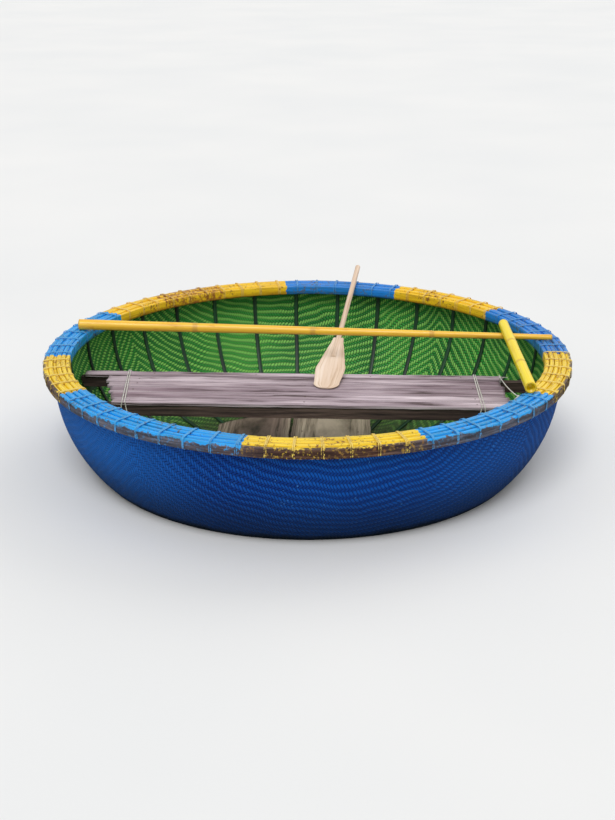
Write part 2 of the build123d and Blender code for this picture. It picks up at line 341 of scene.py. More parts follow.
def blue_gloss_on_weave(tree):
    """Gloss paint brushed over tarred splints, which it fills and shines on unevenly.

    The eye gets a deep blue with the twill's lines in it, painted shade in the hollows, pale specks
    where it is scuffed, crowns lighter towards the left and right sides, painted shade darkening
    the lowest 240 mm towards the waterline, and a dark wet band where the water stands.
    """
    height, upper = weave(tree)
    place = add(tree, "TexCoord").outputs["Object"]
    # Brushed patches 400 mm wide, scuffs 26 mm, and a wandering edge of 140 mm for the wet band and
    # the painted shade low on the hull
    patches, specks, tide_and_shade_edge = (
        add(tree, "TexNoise", {"Vector": place, "Scale": scale, "Detail": fine, "Roughness": rough})
        for scale, fine, rough in ((2.6, 4, 0.55), (38, 5, 0.7), (7, 4, 0.55))
    )
    stops = [(0.30, "#002b78"), (0.5, "#003688"), (0.72, "#024aa2")]
    colour = add(tree, "ValToRGB", [patches], stops)
    splints = add(tree, "Mix", {0: upper, 6: "#002c70", 7: "#0a5cb8"}, **COLOURS)
    colour = add(tree, "Mix", {0: 0.45, 6: colour, 7: splints}, **COLOURS)
    # Painted shade: navy in the hollows between the splints, where shade falls
    crown = add(tree, "MapRange", [height, 0.15, 0.75], **SMOOTH)
    colour = add(tree, "Mix", {0: crown, 6: "#001038", 7: colour}, **COLOURS)
    speck = add(tree, "MapRange", [specks, 0.62, 0.70], **SMOOTH)
    top = add(tree, "MapRange", [height, 0.6, 0.95], **SMOOTH)
    scuffed = add(tree, "Math", [speck, top], **TIMES)
    where = add(tree, "SeparateXYZ", [place]).outputs
    # The crowns are lighter towards the left and right sides of the hull
    left = add(tree, "MapRange", [where["X"], -0.20, -0.75, 0.0, 0.70], **SMOOTH)
    right = add(tree, "MapRange", [where["X"], 0.30, 0.70, 0.0, 0.25], **SMOOTH)
    lighter_sides = add(tree, "Math", [left, right], operation="MAXIMUM")
    lighter_sides = add(tree, "Math", [lighter_sides, crown], **TIMES)
    # Painted shade: darker navy over the lowest 240 mm above the waterline; at the waterline itself
    # the dark wet band. Both follow one wandering edge.
    level = add(tree, "Math", [tide_and_shade_edge, -0.05, where["Z"]], **TIMES_PLUS)
    low_painted_shade = add(tree, "MapRange", [level, 0.24, 0.0, 0.0, 0.75], **SMOOTH)
    wet = add(tree, "MapRange", [level, 0.02, -0.02], **SMOOTH)
    layers = ((scuffed, "#3f7fc4"), (lighter_sides, "#1c6cc0"), (low_painted_shade, "#0a2649"), (wet, "#0b1a2a"))
    for share, tint in layers:
        colour = add(tree, "Mix", {0: share, 6: colour, 7: tint}, **COLOURS)
    roughness = add(tree, "MapRange", [specks, 0.3, 0.7, 0.42, 0.6])
    return colour, roughness, height, 0.0032, {"Specular IOR Level": 0.10}


def green_gloss_on_weave(tree):
    """Gloss paint brushed thinly over tarred splints, with painted shade darkening the hollows.

    The eye gets light green dashes in rows on a darker green, and brown grime in the bottom.
    """
    height, upper = weave(tree)
    place = add(tree, "TexCoord").outputs["Object"]
    # Brushed patches 320 mm wide and grime in marks of 33 mm
    patches = add(tree, "TexNoise", {"Vector": place, "Scale": 3.1, "Detail": 4, "Roughness": 0.55})
    marks = add(tree, "TexNoise", {"Vector": place, "Scale": 30, "Detail": 5, "Roughness": 0.7})
    stops = [(0.32, "#1f742e"), (0.5, "#2f9638"), (0.7, "#46ae40")]
    colour = add(tree, "ValToRGB", [patches], stops)
    lit = add(tree, "Math", [upper, 0.78], **TIMES)
    colour = add(tree, "Mix", {0: lit, 6: colour, 7: "#94dc66"}, **COLOURS)
    # Painted shade: near-black green in the hollows between the splints, where shade falls
    crown = add(tree, "MapRange", [height, 0.28, 0.85], **SMOOTH)
    colour = add(tree, "Mix", {0: crown, 6: "#041d0e", 7: colour}, **COLOURS)
    level = add(tree, "SeparateXYZ", [place]).outputs["Z"]
    level = add(tree, "Math", [marks, 0.12, level], **TIMES_PLUS)
    grime = add(tree, "MapRange", [level, 0.08, -0.08], **SMOOTH)
    colour = add(tree, "Mix", {0: grime, 6: colour, 7: "#3a3a26"}, **COLOURS)
    roughness = add(tree, "MapRange", [marks, 0.3, 0.7, 0.35, 0.6])
    return colour, roughness, height, 0.0034, {"Specular IOR Level": 0.35}


def rim_gloss(tree, on_lashing=False):
    """Gloss paint in stretches over split bamboo, chipped, and worn off the near outer side.

    The eye gets clean yellow and blue with streaks along each lath, brown and grey bare bamboo
    under a ragged edge of paint, small brown chips, and painted shade low on the inner side. On the
    lashings the paint holds better, and a paler tint is painted on them as a highlight.
    """
    place = add(tree, "TexCoord").outputs["Object"]
    # Brush marks 17 mm wide, chips 13 mm, patches 140 mm, and ragged edges of 38 mm to the paint
    # and to the painted shade on the inner side. The streaks are fibres, drawn 6 mm wide so that
    # they show.
    brush, chip, patch, ragged = (
        add(tree, "TexNoise", {"Vector": place, "Scale": scale, "Detail": fine, "Roughness": rough})
        for scale, fine, rough in ((60, 3, 0.55), (75, 6, 0.75), (7, 3, 0.55), (26, 4, 0.7))
    )
    streak = grain(tree, add(tree, "UVMap", uv_map="mat"), (6, 160, 1), 4, 0.6)
    where = add(tree, "SeparateXYZ", [place]).outputs

    # The stretches of paint, by azimuth
    azimuth = add(tree, "Math", [where["Y"], where["X"]], operation="ARCTAN2")
    brushed = add(tree, "Math", [brush, 0.02, azimuth], **TIMES_PLUS)
    round_rim = add(tree, "MapRange", [brushed, -np.pi + 0.01, np.pi + 0.01])
    ends = [0.0] + [(end + 180) / 360 for end, _ in rim_stripes]
    stops = [(start, stripe_paint[paint]) for start, (_, paint) in zip(ends, rim_stripes)]
    stripes = add(tree, "ValToRGB", [round_rim], stops)
    stripes.color_ramp.interpolation = "CONSTANT"
    blue_part = add(tree, "SeparateColor", [stripes]).outputs["Blue"]
    blue_part = add(tree, "MapRange", [blue_part, 0.3, 0.5], **SMOOTH)
    clean = add(tree, "MapRange", [streak, 0.36, 0.60], **SMOOTH)
    shade = add(tree, "Mix", {0: clean, 6: "#cfc1a4", 7: "#ffffff"}, **COLOURS)
    colour = add(tree, "Mix", {0: 0.75, 6: stripes, 7: shade}, **TINT)
    if on_lashing:
        # Painted highlight: a paler tint over the lashings, cream on the yellow and light blue on
        # the blue
        glint = add(tree, "Mix", {0: blue_part, 6: "#fff0a8", 7: "#74c6ff"}, **COLOURS)
        colour = add(tree, "Mix", {0: 0.25, 6: colour, 7: glint}, **COLOURS)

    # Painted shade, low on the inner side of the rim
    radius = add(tree, "VectorMath", [place, (1, 1, 0)], **TIMES)
    radius = add(tree, "VectorMath", [radius], operation="LENGTH")
    inner = add(tree, "MapRange", [radius, mouth_radius + 0.012, mouth_radius + 0.002], **SMOOTH)
    level = add(tree, "Math", [ragged, 0.02, where["Z"]], **TIMES_PLUS)
    low = add(tree, "MapRange", [level, rim_top - 0.014, rim_bottom + 0.004], **SMOOTH)
    inner_painted_shade = add(tree, "Math", [inner, low], **TIMES)
    colour = add(tree, "Mix", {0: inner_painted_shade, 6: colour, 7: "#a07c68"}, **TINT)

    # Chips, and the place at the far left where the paint has worn through
    chipped = add(tree, "Math", [patch, 0.30, chip], **TIMES_PLUS)
    chipped = add(tree, "MapRange", [chipped, 0.715, 0.78], **SMOOTH)
    chip_colour = add(tree, "Mix", {0: blue_part, 6: "#8a5a22", 7: "#57606e"}, **COLOURS)
    colour = add(tree, "Mix", {0: chipped, 6: colour, 7: chip_colour}, **COLOURS)
    worn = add(tree, "Math", [azimuth, worn_middle, worn_reach], operation="COMPARE")
    through = add(tree, "MapRange", [chip, 0.42, 0.58], **SMOOTH)
    worn = add(tree, "Math", [worn, through], **TIMES)
    colour = add(tree, "Mix", {0: worn, 6: colour, 7: "#9c5f22"}, **COLOURS)

    # The bare outer side of the near half, under a ragged edge that is lower on the blue parts
    outer = add(tree, "MapRange", [radius, rim_radius - 0.012, rim_radius - 0.007], **SMOOTH)
    ragged = add(tree, "Math", [ragged, 0.5], operation="SUBTRACT")
    edge = add(tree, "Math", [ragged, 0.05, where["Z"]], **TIMES_PLUS)
    edge = add(tree, "Math", [blue_part, 0.008, edge], **TIMES_PLUS)
    under = add(tree, "MapRange", [edge, rim_top - 0.001, rim_top - 0.005], **SMOOTH)
    near = add(tree, "MapRange", [where["Y"], 0.25, -0.10], **SMOOTH)
    held = (0.56, 0.44) if on_lashing else (0.64, 0.54)
    held = add(tree, "MapRange", [chip, *held], **SMOOTH)
    bare = outer
    for share in (under, near, held):
        bare = add(tree, "Math", [bare, share], **TIMES)
    # Bare bamboo is grey by the blue stretches and brown by the yellow ones, and changes softly
    stops = [
        (start + at * (end - start), "#ffffff" if paint in ("sky", "blue") else "#000000")
        for start, end, (_, paint) in zip(ends, ends[1:], rim_stripes)
        for at in (0.25, 0.75)
    ]
    greyed = add(tree, "ValToRGB", [round_rim], stops)
    brown = add(tree, "ValToRGB", [streak], [(0.3, "#1e0d07"), (0.5, "#45261a"), (0.7, "#74543e")])
    grey = add(tree, "ValToRGB", [streak], [(0.3, "#23242e"), (0.5, "#494a57"), (0.7, "#7b7885")])
    bamboo = add(tree, "Mix", {0: greyed, 6: brown, 7: grey}, **COLOURS)
    colour = add(tree, "Mix", {0: bare, 6: colour, 7: bamboo}, **COLOURS)
    roughness = add(tree, "MapRange", [chip, 0.3, 0.7, 0.3, 0.55])
    return colour, roughness, streak, 0.0012, {"Coat Weight": 0.2, "Coat Roughness": 0.25}


def timber(light, middle, dark, along, across, gloss, depth, uv=True, cracks=0.35, stain="#a89aa0"):
    """Bare or thinly painted wood, sawn or split: matte, with raised fibres and fine dark cracks.

    The fibres are noise stretched along the grain, with along and across marks per metre, and the
    cracks are its lows. Stains a dozen fibres wide run along it. The grain follows the piece's UV,
    or the frame's axes on nodes that have none.
    """

    def build(tree):
        place = add(tree, "UVMap", uv_map="mat") if uv else add(tree, "TexCoord").outputs["Object"]
        fibre = grain(tree, place, (along, across, across), 6, 0.65)
        tone = grain(tree, place, (along / 3, across / 12, across / 12), 3, 0.55)
        colour = add(tree, "ValToRGB", [fibre], [(0.34, dark), (0.47, middle), (0.62, light)])
        tone = add(tree, "ValToRGB", [tone], [(0.36, stain), (0.62, "#ffffff")])
        colour = add(tree, "Mix", {0: 1.0, 6: colour, 7: tone}, **TINT)
        crack = add(tree, "MapRange", [fibre, cracks, cracks - 0.07], **SMOOTH)
        colour = add(tree, "Mix", {0: crack, 6: colour, 7: dark}, **COLOURS)
        roughness = add(tree, "MapRange", [fibre, 0.3, 0.7, gloss + 0.12, gloss])
        return colour, roughness, fibre, depth, {}

    return build


def culm_skin(body, joint, stain, gloss):
    """The skin of a bamboo culm: hard and smooth, with faint fibres, stained in patches.

    The eye gets a soft shine along the culm, and a darker ring at each joint and at the cut ends.
    """

    def build(tree):
        place = add(tree, "UVMap", uv_map="mat")
        # Fibres drawn 5 mm wide so that they show, and stains of 110 mm by 33 mm
        fibre = grain(tree, place, (3, 220, 1), 4, 0.55)
        patch = grain(tree, place, (9, 30, 1), 4, 0.6)
        lines = add(tree, "MapRange", [fibre, 0.35, 0.70, 0.0, 0.7], **SMOOTH)
        stained = add(tree, "MapRange", [patch, 0.56, 0.72], **SMOOTH)
        ring = add(tree, "Attribute", attribute_name="joint").outputs["Fac"]
        ring = add(tree, "MapRange", [ring, 0.2, 0.9], **SMOOTH)
        colour = body
        for share, tint in ((lines, stain), (stained, stain), (ring, joint)):
            colour = add(tree, "Mix", {0: share, 6: colour, 7: tint}, **COLOURS)
        roughness = add(tree, "MapRange", [patch, 0.3, 0.7, gloss, gloss + 0.2])
        return colour, roughness, fibre, 0.0003, {"Coat Weight": 0.2, "Coat Roughness": 0.15}

    return build


def laid_cord(tree):
    """White laid cord: soft and matte, with a bright back to each strand and grey between them."""
    place = add(tree, "TexCoord").outputs["Object"]
    # Dirt in marks of 11 mm and fibres of 1 mm
    dirt = add(tree, "TexNoise", {"Vector": place, "Scale": 90, "Detail": 4, "Roughness": 0.55})
    fibre = grain(tree, add(tree, "UVMap", uv_map="mat"), (900, 900, 1), 2, 0.55)
    colour = add(tree, "ValToRGB", [dirt], [(0.3, "#a8a69c"), (0.55, "#dcdad2"), (0.75, "#f2f1ec")])
    return colour, 0.85, fibre, 0.0004, {"Sheen Weight": 0.2}


def pale_floor(tree):
    """A plain pale floor, which is darker where the boat mirrors it."""
    place = add(tree, "TexCoord").outputs["Object"]
    soft = add(tree, "TexNoise", {"Vector": place, "Scale": 0.6, "Detail": 2, "Roughness": 0.55})
    pale = add(tree, "ValToRGB", [soft], [(0.3, "#e4e5e5"), (0.7, "#e9e9e8")])
    # Painted reflection: glossy rays see the floor dark grey, so the boat's gloss mirrors a darker
    # floor than the camera sees
    mirrored = add(tree, "LightPath").outputs["Is Glossy Ray"]
    return add(tree, "Mix", {0: mirrored, 6: pale, 7: "#6a6c68"}, **COLOURS), 0.9, soft, 0.0, {}


blue_paint = finish("blue gloss over tarred bamboo weave", blue_gloss_on_weave)
green_paint = finish("green gloss over tarred bamboo weave", green_gloss_on_weave)
rim_paint = finish("yellow and blue gloss over bamboo laths", rim_gloss)
lashing_paint = finish(
    "yellow and blue gloss over bamboo lashings", lambda tree: rim_gloss(tree, on_lashing=True)
)
# Dark lines down the light green weave, with a dull shine: their near-black green is partly the
# ribs' own paint and partly painted shade along them
green_bamboo = finish(
    "dark green paint and painted shade on split bamboo",
    timber("#1d5a34", "#0f3a22", "#061a10", 5, 160, 0.42, 0.0008),
)
# Pale mauve-grey boards with sharp dark cracks
grey_wood = finish(
    "weathered bare plank",
    timber("#e6d7de", "#b6a5ad", "#4a393a", 2.2, 190, 0.72, 0.0020, cracks=0.43),
)
# Dark brown laths: the wood's brown, darkened further as painted shade for the bench's shaded front
frame_wood = finish(
    "dark batten with painted shade", timber("#6f5a52", "#4a3a34", "#221813", 4, 90, 0.75, 0.0020, uv=False)
)
# Mid-brown poles, grained along Y as they lie
bearer_wood = finish(
    "weathered round pole", timber("#8d7a66", "#65543f", "#2f2519", 60, 3, 0.6, 0.0010, uv=False)
)
# Small dark dots, speckled with pores
peg_wood = finish("peg end grain", timber("#8f7d70", "#65564c", "#2c221c", 300, 300, 0.7, 0.0004))
# Grey-brown boards with broad grain, darker where water stood
floor_wood = finish(
    "wet-stained floor plank", timber("#cbb9a6", "#a1907f", "#463a30", 2.6, 100, 0.6, 0.0016)
)
# Warm and cool yellow culms
golden_skin = finish("dry golden bamboo", culm_skin("#ffcd3c", "#dba63a", "#e09e26", 0.28))
yellow_skin = finish(
    "lemon-yellow gloss on bamboo", culm_skin("#ffe80a", "#e4bc10", "#f0cc0c", 0.24)
)
# Nearly white planed wood with faint grain
paddle_wood = finish(
    "pale bare wood",
    timber("#fdeee0", "#f2dfca", "#c6a684", 2.5, 130, 0.5, 0.0006, stain="#e2d2c4"),
)
white_cord = finish("white laid cord", laid_cord)
floor_finish = finish("pale matte floor", pale_floor)


# Hull


def woven_hull():
    """The bowl: the hull's section outside and in, turned about +Z. UV are the flat mat's metres.

    Its rows are spread over the three arcs and the upright part, whose edge between the laths has
    the rim's paint.
    """
    bottom = np.linspace(0, flat, 20, endpoint=False)
    bilge = np.linspace(flat, steep, 14, endpoint=False)
    slopes = np.concatenate([bottom, bilge, np.linspace(steep, np.pi / 2, 34)])
    rise = np.array([rim_bottom - side_top, hull_edge - side_top])
    sections = []
    for inset in (0.0, hull_wall):
        radius, height, reach = hull_line(slopes, inset)
        radius = np.append(radius, [hull_radius - inset] * 2)
        height = np.append(height, side_top + rise)
        sections.append(np.stack([radius, height, np.append(reach, reach[-1] + rise)], -1))
    outside, inside = sections
    section = np.concatenate([outside, inside[::-1]])
    azimuth = np.linspace(0, TURN, 361)
    radius, height, reach = (section[:, None, i] for i in range(3))
    points = round_about(azimuth, radius, height)
    uv = round_about(azimuth, reach, 0.0)[..., :2]
    row_material = np.where(np.arange(len(section) - 1) >= len(outside) - 1, 1, 0)
    row_material[np.minimum(section[:-1, 1], section[1:, 1]) > rim_bottom - 0.001] = 2
    face_material = np.repeat(row_material, len(azimuth) - 1)
    paints = [blue_paint, green_paint, rim_paint]
    piece("woven_hull", points[None], uv[None], paints, ["hull"], "hull_weave", face_material)


woven_hull()


# Rim


def lath_ring(lath, width):
    """A lath bent to a ring: a squircle section turned about +Z, with bamboo joints and a wander.

    A joint swells the section by 1 mm with a narrow bell. The ring's radius wanders by 0.6 mm and
    its height by 0.8 mm.
    """
    low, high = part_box(lath)
    joints = 9
    azimuth = np.linspace(0, TURN, 721)[:, None]
    turn = np.linspace(0, TURN, 21)[None, :]
    across, up = squircle(turn, 5)
    middle, half_width, half_height = high.x - width / 2, width / 2, (high.z - low.z) / 2
    places = (np.arange(joints) + random.uniform(-0.3, 0.3, joints)) * TURN / joints
    places += random.uniform(0, TURN)
    apart = (azimuth[..., None] - places + np.pi) % TURN - np.pi
    joint = 0.0010 * np.exp(-((apart / 0.005) ** 2)).sum(-1)
    drift = 0.0006 * waves(np.cos(azimuth), np.sin(azimuth), (0.15, 0.6))
    lift = 0.0008 * waves(np.cos(azimuth), np.sin(azimuth), (0.2, 0.9))
    radius = middle + drift + (half_width + joint) * across
    height = (low.z + high.z) / 2 + lift + (half_height + joint) * up
    points = round_about(azimuth, radius, height)
    uv = np.broadcast_arrays(azimuth * middle, turn / TURN * 4 * (half_width + half_height))
    uv = np.stack(uv, -1) + random.uniform(0, 9)
    piece(lath + "_split", points[None], uv[None], [rim_paint], [lath], "rim_paint")


for lath, width in lath_widths.items():
    lath_ring(lath, width)


def rim_bindings():
    """Lashings of split bamboo: flat strands on a squircle path round the rim, three to a lashing.

    A strand is 3.3 mm wide and 1.6 mm thick. Each lies a little askew and a little loose.
    """
    clear, half_wide, half_thick = 0.0014, 0.00165, 0.0008
    strand = np.arange(lashing_strands) - (lashing_strands - 1) / 2
    strand = np.tile(strand, lashing_count)[:, None]
    azimuth = np.repeat(np.arange(lashing_count), lashing_strands)[:, None] * TURN / lashing_count
    jitter = random.uniform(-0.0008, 0.0008, strand.shape)
    slant = random.uniform(-0.003, 0.003, strand.shape)
    turn = np.linspace(0, TURN, 33)[None, :]
    across, up = squircle(turn, 6)
    half_width = (rim_radius - mouth_radius) / 2 + clear
    half_height = (rim_top - rim_bottom) / 2 + clear
    loose = 1 + random.uniform(0, 0.012, azimuth.shape)
    radius = (rim_radius + mouth_radius) / 2 + half_width * across * loose
    height = (rim_top + rim_bottom) / 2 + half_height * up * loose
    aside = strand * lashing_width / lashing_strands + jitter + slant * np.cos(turn)
    path = round_about(azimuth, radius, height, aside)
    out_across, out_up = np.cos(turn) * half_height, np.sin(turn) * half_width
    size = np.hypot(out_across, out_up)
    normal = round_about(azimuth, out_across / size, out_up / size)
    side = round_about(azimuth, 0 * turn, 0.0, 1.0)
    points = tube(path, normal, side, half_wide, half_thick, 7, 3)
    uv = grid_uv(points, 0.006)
    piece("rim_bindings", points, uv, [lashing_paint], ["rim_lashings"], "rim_paint")


rim_bindings()


# Ribs


def split_ribs():
    """Split-bamboo ribs bent down the hull: a squircle section along its line, with joints.

    They have a joint every 260 mm, where they are a tenth thicker and a little wider, and they
    wander sideways by 2 mm.
    """
    azimuth = (np.arange(rib_count) + 0.5) * TURN / rib_count
    start = np.array([slope_at(rib_starts[i % 2], hull_wall) for i in range(rib_count)])
    share = np.linspace(0, 1, 46)
    slope = start[:, None] + share[None, :] * (np.pi / 2 - start[:, None])
    slope = np.append(slope, slope[:, -1:], 1)
    radius, height, reach = hull_line(slope, hull_wall + seat_gap)
    height[:, -1] = rib_top - 0.0005
    reach[:, -1] += height[:, -1] - side_top
    turn = np.linspace(0, TURN, 13)
    c, s = squircle(turn, 2.6)
    phase = random.uniform(0, 0.3, (rib_count, 1))
    joint = np.exp(-((((reach + phase) % 0.26 - 0.13) / 0.004) ** 2))[..., None]
    depth = (rib_thickness / 2) * (1 + s) * (1 - 0.10 * (1 - joint))
    wide = rib_width / 2 * (0.94 + 0.06 * joint) * c
    wander = 0.002 * waves(reach * 2, azimuth[:, None] * 9, (0.5, 1.5))[..., None]
    radius = radius[..., None] - depth * np.sin(slope)[..., None]
    height = height[..., None] + depth * np.cos(slope)[..., None]
    points = close_ends(round_about(azimuth[:, None, None], radius, height, wide + wander))
    uv = grid_uv(points, 0.05) + random.uniform(0, 9, (rib_count, 1, 1, 1))
    piece("split_ribs", points, uv, [green_bamboo], ["ribs"], "green_bamboo")


split_ribs()


# Boards


def plank(name, node, material, slot, ends=None, wear=1.0, columns=56):
    """A board worn with use: a squircle section along X or Y, grooved along its grain.

    The grooves are 0.35 mm deep, the dents 0.6 mm, and its edges wander by 1.2 mm, all times wear.
    ends gives the two ends by the place across the board. Without it they are the node's, broken
    back by up to 6 mm.
    """
    low, high = (np.array(v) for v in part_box(node))
    centre, half = (low + high) / 2, (high - low) / 2
    long_axis = 0 if half[0] > half[1] else 1
    wide_axis = 1 - long_axis
    half_wide, half_thick = half[wide_axis], half[2]
    step = 0.012
    share = np.linspace(0, 1, int(2 * half[long_axis] / step))[:, None]
    c, s = squircle(np.linspace(0, TURN, columns)[None, :], 7)
    across = half_wide * c
    if ends is None:
        first = low[long_axis] + 0.003 * (1 + waves(across, 0, (0.01, 0.05)))
        last = high[long_axis] - 0.003 * (1 + waves(across, 0, (0.01, 0.05)))
    else:
        first, last = ends(centre[wide_axis] + across)
    along = first + share * (last - first)
    groove = waves(across, along * 0.02, (0.005, 0.012), 14)
    dent = waves(across, along, (0.05, 0.25))
    shrink = wear * (0.00035 * groove + 0.0006 * dent - 0.0009)
    edge = wear * 0.0012 * waves(along, 0, (0.06, 0.4))
    wide = centre[wide_axis] + across + (shrink + edge) * c
    up = centre[2] + half_thick * s + shrink * s
    grid = [along, wide, up] if long_axis == 0 else [wide, along, up]
    points = close_ends(np.stack(grid, -1)[None])
    uv = grid_uv(points, 4 * (half_wide + half_thick) * 0.8) + random.uniform(0, 20)
    piece(name, points, uv, [material], [node], slot)


for number in range(1, 6):
    plank(f"slat_{number}_worn", f"bench_slat_{number}", grey_wood, "bench_wood")
plank("rear_slat_worn", "bench_rear_slat", grey_wood, "bench_wood")


def board_ends(across):
    """The floor boards' ends follow the hull: the half chord of a circle at their underside.

    They stop 4 mm short of it, and a little more towards the sides.
    """
    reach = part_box("floor_board_right")[1].y - 0.004
    half = np.sqrt(np.maximum(reach**2 - across**2 * 1.02, 0.01))
    return -half, half


for side in ("left", "right"):
    name, node = f"floor_{side}_worn", f"floor_board_{side}"
    plank(name, node, floor_wood, "floor_wood", board_ends, wear=0.8, columns=72)

# The frame's own nodes that show as they are
for nodes, material in (
    ("bearer_cleats", green_bamboo),
    ("bearer_left bearer_right", bearer_wood),
    ("bench_front_beam bench_rear_beam", frame_wood),
    ("bench_batten_left bench_batten_middle bench_batten_right", frame_wood),
    ("floor_bearer_front floor_bearer_middle floor_bearer_rear", frame_wood),
):
    for node in nodes.split():
        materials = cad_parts[node].data.materials
        materials.clear()
        materials.append(material)


# Cord


def route(corners, reaches, count):
    """A closed path through corners, each rounded by a curve that starts and ends a reach away.

    The curve is the quadratic one whose middle control point is the corner, and the whole path is
    then cut into even steps.
    """
    corners = np.array(corners, float)
    before, after = unit(np.roll(corners, 1, 0) - corners), unit(np.roll(corners, -1, 0) - corners)
    share = np.linspace(0, 1, 13)[:, None]
    path = []
    for corner, back, ahead, reach in zip(corners, before, after, reaches):
        first, last = corner + back * reach, corner + ahead * reach
        path.append((1 - share) ** 2 * first + 2 * share * (1 - share) * corner + share**2 * last)
    path = np.concatenate([*path, path[0][:1]])
    gone = np.concatenate([[0], np.cumsum(np.linalg.norm(np.diff(path, axis=0), axis=1))])
    even = np.linspace(0, gone[-1], count)
    return np.stack([np.interp(even, gone, path[:, i]) for i in range(3)], -1)


def carried(path, closed):
    """Two axes across a path that turn with it but not about it, closed by an even twist."""
    ahead = unit(np.gradient(path, axis=0))
    if closed:
        ahead[0] = ahead[-1] = unit(path[1] - path[-2])
    side = np.empty_like(path)
    side[0] = unit(np.cross(ahead[0], [0.3, 0.5, 0.8]))
    for i in range(1, len(path)):
        side[i] = unit(side[i - 1] - (side[i - 1] @ ahead[i]) * ahead[i])
    above = np.cross(ahead, side)
    missing = np.arctan2(side[0] @ above[-1], side[0] @ side[-1]) if closed else 0.0
    twist = (missing * np.linspace(0, 1, len(path)))[:, None]
    c, s = np.cos(twist), np.sin(twist)
    return c * side + s * above, c * above - s * side


def rope(name, paths, radius, replaces=(), closed=False):
    """Three-strand laid cord along paths of the same number of points.

    Each strand winds round its path once in seven diameters, a third of a turn from the next, and
    its round section stands on the path's two axes.
    """
    lay, thick = radius * 0.5, radius * 0.55
    strands = []
    for path in paths:
        normal, side = carried(path, closed)
        length = np.linalg.norm(np.diff(path, axis=0), axis=1).sum()
        turns = length / (14 * radius)
        angle = TURN * np.linspace(0, round(turns) if closed else turns, len(path))[:, None]
        for third in range(3):
            turned = angle + third * TURN / 3
            strand = path + lay * (np.cos(turned) * normal + np.sin(turned) * side)
            strands.append([strand, normal, side])
    points = tube(*np.array(strands).swapaxes(0, 1), thick, thick, 8)
    if not closed:
        points = close_ends(points)
    piece(name, points, grid_uv(points, TURN * thick), [white_cord], replaces, "cord")


def bench_ties():
    """One closed cord at each bearer: over the slats on both its sides and under both its edges.

    The runs over the slats lie askew, each by its own places at the rear and the front.
    """
    radius = 0.0021
    clear = radius + seat_gap
    lash_low, lash_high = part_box("bench_lashings")
    front, rear = lash_low.y + radius, lash_high.y - radius
    low, high = lash_low.z + radius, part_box("bench_slat_1")[1].z + clear
    paths = []
    for node, (first_rear, first_front), (last_rear, last_front) in (
        ("bearer_left", (-0.727, -0.694), (-0.720, -0.684)),
        ("bearer_right", (0.654, 0.662), (0.661, 0.672)),
    ):
        left, right = (corner.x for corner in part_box(node))
        left, right = left - clear, right + clear
        corners = [(last_front, front, high), (last_rear, rear, high)]
        corners += [(right, rear, low), (left, rear, low)]
        corners += [(first_rear, rear, high), (first_front, front, high)]
        corners += [(left, front, low), (right, front, low)]
        paths.append(route(corners, [0.006, 0.006, 0.022, 0.022] * 2, 1100))
    rope("bench_ties", paths, radius, ["bench_lashings"], closed=True)


bench_ties()


def knot(middle, side, above, size):
    """A pulled knot, closed: a size times (sin t + 2 sin 2t, cos t - 2 cos 2t, -sin 3t)."""
    t = np.linspace(0, TURN, 160)[:, None]
    ahead = np.cross(side, above)
    flat_part = (np.sin(t) + 2 * np.sin(2 * t)) * side + (np.cos(t) - 2 * np.cos(2 * t)) * above
    return middle + size * (flat_part - np.sin(3 * t) * ahead)


def side_tie():
    """The thin cord from the bench's right end to the near rim: a straight run that sags by 7.5 mm.

    One turn of it goes round the rear slat and the beam, and a knot holds it there and on a lashing
    of the rim, each with a short loose end that droops with the square of its length.
    """
    radius, at, sag, knot_size = 0.0020, 0.757, 0.0075, 0.0018
    gap = radius + 0.0006
    slat_low, slat_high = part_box("bench_rear_slat")
    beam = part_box("bench_rear_beam")[0].z
    upright = np.array([0, 0, 1.0])
    near, far = slat_low.y - gap, slat_high.y + gap
    low, high = beam - gap, slat_high.z + gap
    corners = [(at, near, high), (at - 0.004, near, low), (at - 0.002, far, low), (at, far, high)]
    turn = route(corners, [0.004] * 4, 160)
    apart = TURN / lashing_count
    lashing = round(np.arctan2(-0.48, 0.76) / apart) * apart
    outward = np.array([np.cos(lashing), np.sin(lashing), 0.0])
    tangent = np.cross(outward, upright)
    first = np.array([at, slat_low.y - 0.002, slat_high.z + 0.007])
    last = (mouth_radius - 0.008) * outward + np.array([0, 0, rim_top - 0.012])
    share = np.linspace(0, 1, 300)[:, None]
    run = first + share * (last - first) - np.array([0, 0, 4 * sag]) * share * (1 - share)
    rope("side_tie", [run], radius)
    first_knot = knot(first, np.cross(unit(last - first), upright), upright, knot_size)
    last_knot = knot(last, upright, tangent, knot_size)
    rope("side_tie_turn_and_knots", [turn, first_knot, last_knot], radius, closed=True)
    share = share[::6]
    loose_ends = [
        first + share * [0.030, 0.014, 0.004] - share**2 * [0, 0, 0.008],
        last + share * (0.020 * tangent - 0.012 * outward) - share**2 * [0, 0, 0.022],
    ]
    rope("side_tie_loose_ends", loose_ends, radius)


side_tie()


# Poles


